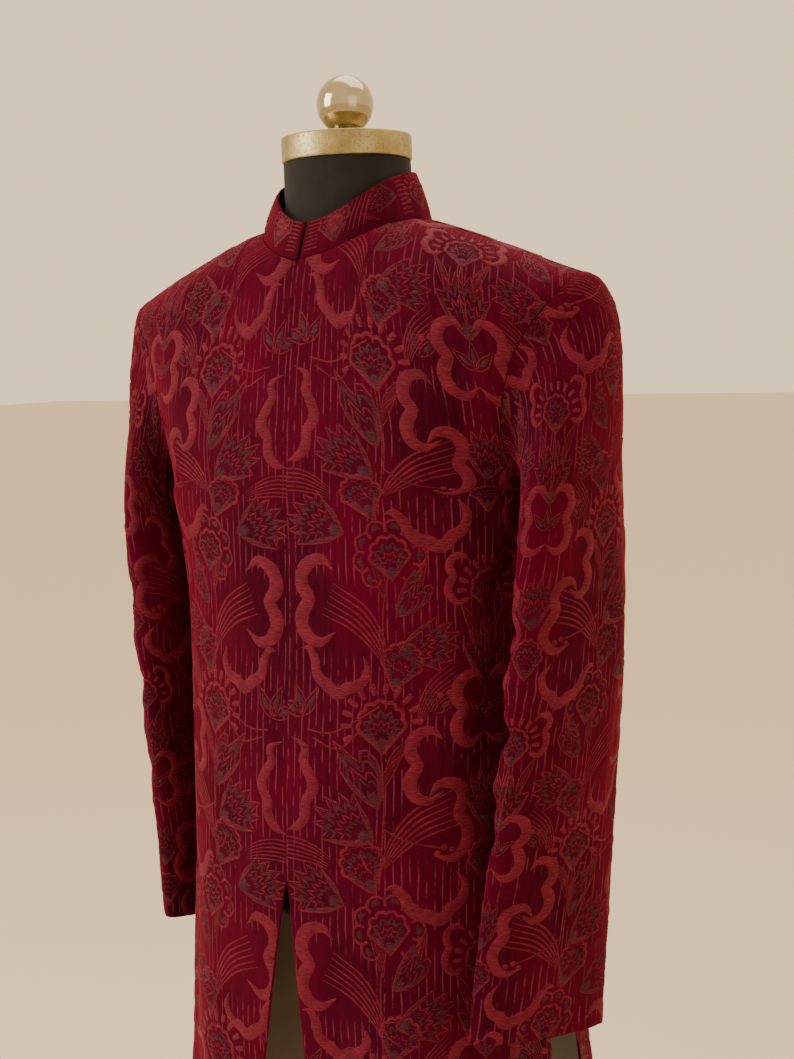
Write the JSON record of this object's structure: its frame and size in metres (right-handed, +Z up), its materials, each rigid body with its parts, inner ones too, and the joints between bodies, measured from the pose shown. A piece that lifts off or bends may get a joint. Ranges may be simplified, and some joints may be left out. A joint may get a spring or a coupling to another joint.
{
  "type": "velvet kurta on a limbless dress form",
  "caption": "Knee-length velvet kurta with a stand collar, hidden front closing, front slit and side vents, worn by a limbless dress form on a round-based stand.",
  "frame": {"origin": "centre of the stand's base, on the floor", "axes": "+Z up; the wearer faces -Y, and the wearer's left is +X"},
  "size_m": [0.5269, 0.38, 1.5958],
  "materials": {
    "velvet": "crimson velvet with tone-on-tone thread embroidery",
    "lining": "olive-brown satin",
    "form_cloth": "matt black covering",
    "neck_cap": "worn, pale",
    "finial": "polished, warm",
    "stand": "satin black"
  },
  "bodies": {
    "root": {"front_left": "velvet", "front_right": "velvet", "back": "velvet", "front_underlap": "velvet", "back_lining": "lining", "sleeve_left": "velvet", "sleeve_right": "velvet", "collar": "velvet", "form_torso": "form_cloth", "neck_cap": "neck_cap", "finial_seat": "finial", "finial_ball": "finial", "stand_pole": "stand", "stand_base": "stand"}
  },
  "joints": []
}
